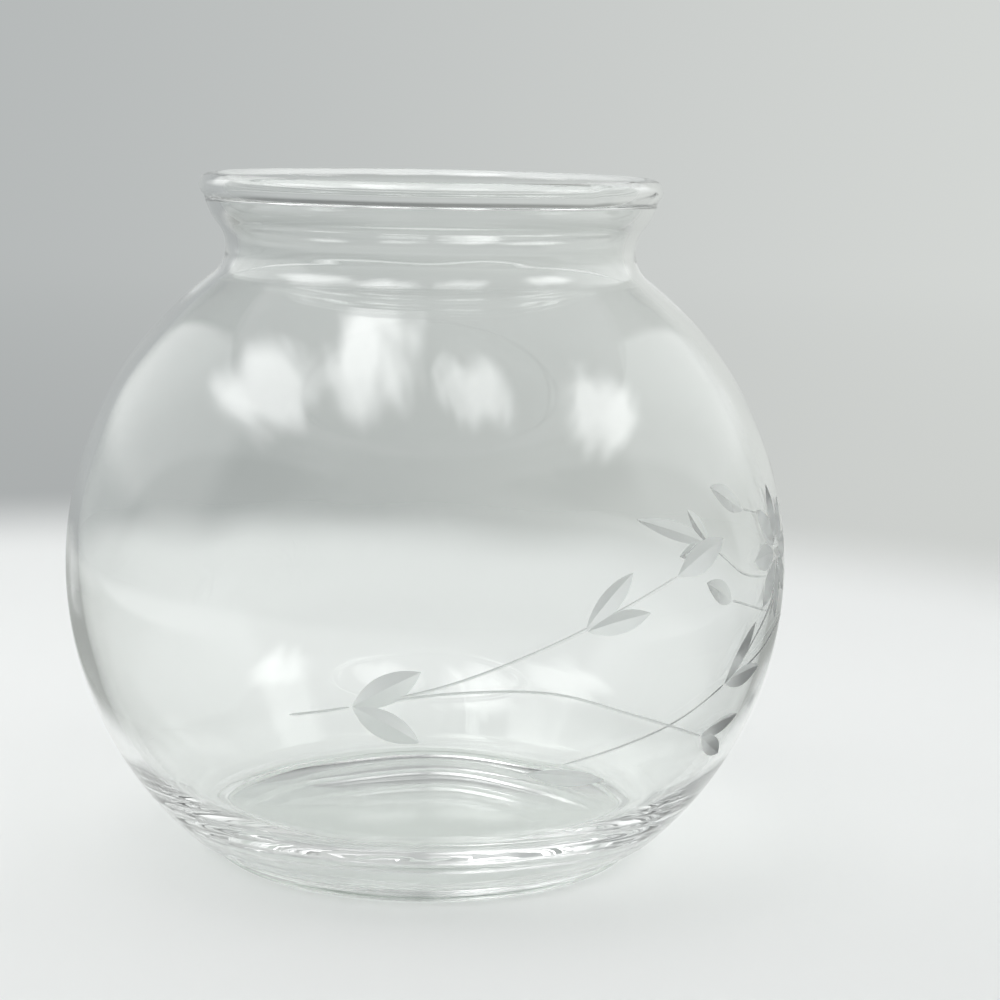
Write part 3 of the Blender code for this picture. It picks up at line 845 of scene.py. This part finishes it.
def stage_material():
    """Pale table that fades, past its edge, to a wall that keeps its own grey in the glass."""
    material, nodes, links = new_material("stage")
    material.cycles.emission_sampling = "NONE"
    split = nodes.new("ShaderNodeSeparateXYZ")
    links.new(nodes.new("ShaderNodeTexCoord").outputs["Object"], split.inputs["Vector"])
    from_middle = math_node(nodes, links, "SUBTRACT", split.outputs["X"], TABLE_MIDDLE_X)
    from_table = nodes.new("ShaderNodeCombineXYZ")
    links.new(from_middle, from_table.inputs["X"])
    links.new(split.outputs["Y"], from_table.inputs["Y"])
    reach = vector_node(nodes, links, "LENGTH", from_table.outputs["Vector"])

    table = nodes.new("ShaderNodeBsdfDiffuse")
    # Painted light: the table is lighter at the back than at the front
    floor_light_share = ramp(nodes, links, split.outputs["Y"], FLOOR_NEAR_AT, FLOOR_FAR_AT)
    links.new(mix_colours(nodes, links, floor_light_share, FLOOR_NEAR_SHADED, FLOOR_FAR_LIT), table.inputs["Color"])
    room = nodes.new("ShaderNodeEmission")
    links.new(room_colour(nodes, links, split, reach), room.inputs["Color"])
    # Painted shade: the grey that the glass mirrors where the cards would lie
    card_shade = nodes.new("ShaderNodeEmission")
    card_shade.inputs["Color"].default_value = CARD_SHADE_COLOUR

    path = nodes.new("ShaderNodeLightPath")
    in_glass = ray_in_glass(nodes, links, path)
    seen = math_node(nodes, links, "MAXIMUM", in_glass, path.outputs["Is Camera Ray"])
    past_table = ramp(nodes, links, reach, TABLE_FADE_FROM, TABLE_FADE_TO)
    room_share = math_node(nodes, links, "MULTIPLY", seen, past_table)
    plain = mix_shaders(nodes, links, room_share, table.outputs["BSDF"], room.outputs["Emission"])
    # Painted shade in the glass: rays that the glass mirrors see the cards' grey
    mirrored = math_node(nodes, links, "MINIMUM", path.outputs["Glossy Depth"], in_glass)
    card_shade_mask = painted_card_shade(nodes, links, split, reach)
    card_shade_share = math_node(nodes, links, "MULTIPLY", mirrored, card_shade_mask)
    show(nodes, links, mix_shaders(nodes, links, card_shade_share, plain, card_shade.outputs["Emission"]))
    return material


def stage():
    """Round studio floor that bends up into a wall."""
    build = bmesh.new()
    bend_start = STAGE_RADIUS - STAGE_BEND
    outline = [(0.0, 0.0)] + [(radius, 0.0) for radius in FLAT_RINGS] + [(bend_start, 0.0)]
    outline += arc((bend_start, STAGE_BEND), STAGE_BEND, DOWN, OUT, STAGE_BEND_STEP)[1:]
    outline.append((STAGE_RADIUS, STAGE_HEIGHT))
    rings = []
    for radius, level in outline:
        if radius < ON_AXIS:
            rings.append([build.verts.new((0.0, 0.0, level))] * STAGE_STEPS)
        else:
            rings.append(ring_of_points(build, radius, level, STAGE_STEPS))
    for low, high in zip(rings, rings[1:]):
        for step in range(STAGE_STEPS):
            following = (step + 1) % STAGE_STEPS
            if low[step] == low[following]:
                build.faces.new((low[step], high[step], high[following]))
            else:
                build.faces.new((low[step], high[step], high[following], low[following]))
    for face in build.faces:
        face.smooth = True
    floor = object_from(build, "stage", [stage_material()])
    floor.location.z = -AIR_UNDER_FOOT
    bpy.context.scene.collection.objects.link(floor)


def set_up(holder, right, up, back, spot):
    """Put a lamp or camera into the scene at a spot. It looks away from its back."""
    bpy.context.scene.collection.objects.link(holder)
    pose = Matrix((right, up, back)).transposed().to_4x4()
    pose.translation = spot
    holder.matrix_world = pose


def curtain(nodes, links, number):
    """Light through a curtain: 1 at the lamp's middle, and 0 past a rim that the folds make uneven."""
    spot = nodes.new("ShaderNodeNewGeometry").outputs["Parametric"]
    offset = vector_node(nodes, links, "SUBTRACT", spot, LAMP_MIDDLE)
    counts = (CURTAIN_FOLDS_ACROSS, CURTAIN_FOLDS_ALONG, 0.0)
    along_folds = vector_node(nodes, links, "MULTIPLY_ADD", spot, counts, (0.0, 0.0, number))
    folds = nodes.new("ShaderNodeTexNoise")
    folds.inputs["Scale"].default_value = 1.0
    links.new(along_folds, folds.inputs["Vector"])
    depth = (CURTAIN_FOLD_DEPTH, CURTAIN_FOLD_DEPTH, 0.0)
    half_back = (-CURTAIN_FOLD_DEPTH / 2, -CURTAIN_FOLD_DEPTH / 2, 0.0)
    waver = vector_node(nodes, links, "MULTIPLY_ADD", folds.outputs["Color"], depth, half_back)
    bent = vector_node(nodes, links, "ADD", offset, waver)
    return ramp(nodes, links, vector_node(nodes, links, "LENGTH", bent), LAMP_SOFT_TO, LAMP_SOFT_FROM)


def soft_lamp(name, start, end, width, radiance, number):
    """Long area lamp that faces the jar. Its power follows from its radiance and its ellipse's area."""
    start = Vector(start).normalized() * LAMP_REACH
    end = Vector(end).normalized() * LAMP_REACH
    back = (start + end).normalized()
    along = (end - start).normalized()
    lamp = bpy.data.lights.new(name, "AREA")
    lamp.shape = "ELLIPSE"
    lamp.size = width
    lamp.size_y = (end - start).length
    lamp.energy = radiance * math.pi * lamp.size * lamp.size_y * math.pi / 4
    lamp.use_nodes = True
    nodes = lamp.node_tree.nodes
    links = lamp.node_tree.links
    links.new(curtain(nodes, links, number), nodes["Emission"].inputs["Strength"])
    holder = bpy.data.objects.new(name, lamp)
    set_up(holder, along.cross(back), along, back, (start + end) / 2 + GLOBE_MIDDLE)


def lights():
    """Even light all round, and a few soft windows that show in the glass."""
    world = bpy.data.worlds.new("studio")
    bpy.context.scene.world = world
    world.use_nodes = True
    nodes = world.node_tree.nodes
    links = world.node_tree.links
    in_glass = ray_in_glass(nodes, links, nodes.new("ShaderNodeLightPath"))
    darker = math_node(nodes, links, "MULTIPLY", in_glass, WORLD_STRENGTH * (WORLD_SHADE_IN_GLASS - 1))
    background = nodes["Background"]
    background.inputs["Color"].default_value = WORLD_COLOUR
    links.new(math_node(nodes, links, "ADD", darker, WORLD_STRENGTH), background.inputs["Strength"])
    for number, (name, lamp) in enumerate(LAMPS.items()):
        soft_lamp(name, *lamp, number)


def camera():
    """Camera at the photograph's place and angle."""
    forward = Vector((
        math.sin(CAMERA_YAW) * math.cos(CAMERA_PITCH),
        math.cos(CAMERA_YAW) * math.cos(CAMERA_PITCH),
        -math.sin(CAMERA_PITCH),
    ))
    level_right = Vector((math.cos(CAMERA_YAW), -math.sin(CAMERA_YAW), 0.0))
    level_up = level_right.cross(forward)
    right = math.cos(CAMERA_ROLL) * level_right + math.sin(CAMERA_ROLL) * level_up
    up = -math.sin(CAMERA_ROLL) * level_right + math.cos(CAMERA_ROLL) * level_up
    holder = bpy.data.objects.new("camera", bpy.data.cameras.new("camera"))
    holder.data.sensor_width = SENSOR_WIDTH_MM
    holder.data.lens = SENSOR_WIDTH_MM * FOCAL_PIXELS / IMAGE_WIDTH
    set_up(holder, right, up, -forward, Vector(CAMERA_PLACE))
    bpy.context.scene.camera = holder


def light_paths():
    """Light runs a long way inside a glass wall before it comes out, so its path may have many turns."""
    cycles = bpy.context.scene.cycles
    cycles.max_bounces = MOST_TURNS
    cycles.glossy_bounces = MOST_TURNS
    cycles.transmission_bounces = MOST_TURNS
    cycles.transparent_max_bounces = MOST_TURNS


def main():
    """Dress the frame."""
    materials = [clear_glass("clear_glass", GLASS_TINT), cut_glass(), fused_joint()]
    # The foot's darker tint is partly painted shade
    foot_materials = [clear_glass("foot_clear_glass", FOOT_TINT_AND_SHADE)] + materials[1:]
    pieces = (
        (globe_piece(materials), "globe_body", "globe_glass"),
        (bead_piece(materials), "rim_bead", "rim_glass"),
        (foot_piece(foot_materials), "foot_pad", "foot_glass"),
    )
    for piece, node, slot in pieces:
        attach(piece, "root")
        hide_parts(node)
    stage()
    lights()
    camera()
    bpy.context.scene.view_settings.view_transform = "Standard"
    light_paths()


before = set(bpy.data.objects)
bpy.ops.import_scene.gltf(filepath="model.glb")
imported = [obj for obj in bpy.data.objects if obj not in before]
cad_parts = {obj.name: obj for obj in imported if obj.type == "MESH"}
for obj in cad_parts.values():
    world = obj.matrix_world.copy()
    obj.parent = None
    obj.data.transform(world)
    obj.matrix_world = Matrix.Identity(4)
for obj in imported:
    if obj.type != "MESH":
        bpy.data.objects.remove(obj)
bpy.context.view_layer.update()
main()
